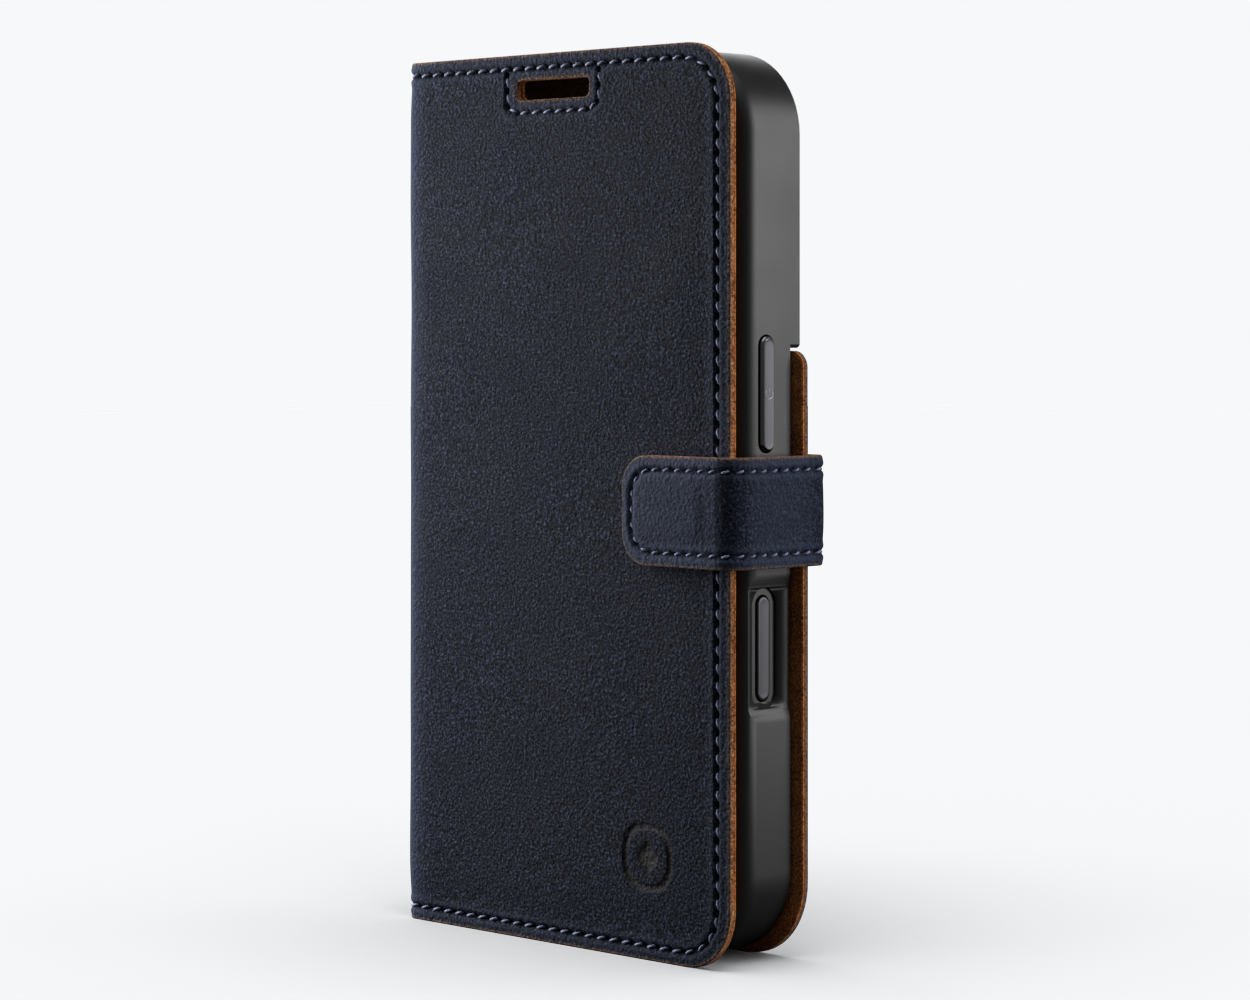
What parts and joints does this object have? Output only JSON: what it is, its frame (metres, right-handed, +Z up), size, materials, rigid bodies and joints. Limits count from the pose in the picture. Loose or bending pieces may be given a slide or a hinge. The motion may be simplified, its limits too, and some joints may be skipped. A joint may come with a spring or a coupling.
{
  "type": "phone wallet case",
  "caption": "Folio wallet case: leather cover folding round a moulded phone shell, card and note pockets inside, closed by a magnetic side strap.",
  "frame": {"origin": "centre of the bounding box's lower face, under the closed case standing on its lower edges", "axes": "+X from the spine to the strap, +Y from the front cover to the back panel, +Z up along the case's height"},
  "size_m": [0.0836, 0.0234, 0.155],
  "materials": {
    "navy_leather": "oiled nubuck, fine nap",
    "tan_leather": "suede split, matte",
    "board": "raw stiffener board",
    "steel": "nickel plated",
    "thread": "twisted polyester thread",
    "shell": "soft touch, satin",
    "microfibre": "short nap",
    "adhesive": "foam tape",
    "key_metal": "satin anodised"
  },
  "bodies": {
    "back": {"back_lining": "tan_leather", "back_board": "board", "back_leather": "navy_leather", "back_thread": "thread", "rear_fold": "navy_leather", "phone_shell": "shell", "shell_liner": "microfibre", "adhesive_pad": "adhesive", "strap_tail": "navy_leather", "strap_tail_thread": "thread", "strap_fold": "navy_leather"},
    "spine": {"spine_leather": "navy_leather", "spine_lining": "tan_leather", "front_fold": "navy_leather"},
    "front_cover": {"front_leather": "navy_leather", "front_thread": "thread", "front_board": "board", "front_keeper": "steel", "front_lining": "tan_leather", "note_pocket": "tan_leather", "card_pocket_1": "tan_leather", "card_pocket_2": "tan_leather", "card_pocket_3": "tan_leather"},
    "strap_side": {"strap_side_leather": "navy_leather", "strap_side_lining": "tan_leather", "strap_tip_fold": "navy_leather"},
    "strap_tip": {"strap_tip_leather": "navy_leather", "strap_tip_lining": "tan_leather", "strap_magnet": "steel", "strap_tip_thread": "thread"},
    "side_button": {"side_button": "key_metal"},
    "camera_button": {"camera_button": "key_metal"},
    "action_button": {"action_button": "key_metal"},
    "volume_up_button": {"volume_up_button": "key_metal"},
    "volume_down_button": {"volume_down_button": "key_metal"}
  },
  "joints": [
    {"name": "spine_fold_joint", "type": "hinge", "parent": "back", "child": "spine", "pos_m": [-0.04105, 0.00895, 0.0775], "axis": [0, 0, -1], "range_deg": [0, 175], "deforming": ["strap_tip_leather", "strap_tip_lining", "strap_magnet", "strap_tip_thread"]},
    {"name": "cover_fold_joint", "type": "hinge", "parent": "spine", "child": "front_cover", "pos_m": [-0.04105, -0.00835, 0.0775], "axis": [0, 0, -1], "range_deg": [0, 175]},
    {"name": "strap_fold_joint", "type": "hinge", "parent": "back", "child": "strap_side", "pos_m": [0.04105, 0.01095, 0.076], "axis": [0, 0, 1], "range_deg": [0, 135]},
    {"name": "strap_tip_joint", "type": "hinge", "parent": "strap_side", "child": "strap_tip", "pos_m": [0.04105, -0.0107, 0.076], "axis": [0, 0, 1], "range_deg": [0, 90]},
    {"name": "side_button_slide", "type": "slide", "parent": "back", "child": "side_button", "axis": [-1, 0, 0], "range_m": [0, 0.0004], "stiffness_N_per_m": 500},
    {"name": "camera_button_slide", "type": "slide", "parent": "back", "child": "camera_button", "axis": [-1, 0, 0], "range_m": [0, 0.0003], "stiffness_N_per_m": 500},
    {"name": "action_button_slide", "type": "slide", "parent": "back", "child": "action_button", "axis": [1, 0, 0], "range_m": [0, 0.0004], "stiffness_N_per_m": 500},
    {"name": "volume_up_slide", "type": "slide", "parent": "back", "child": "volume_up_button", "axis": [1, 0, 0], "range_m": [0, 0.0004], "stiffness_N_per_m": 500},
    {"name": "volume_down_slide", "type": "slide", "parent": "back", "child": "volume_down_button", "axis": [1, 0, 0], "range_m": [0, 0.0004], "stiffness_N_per_m": 500}
  ]
}
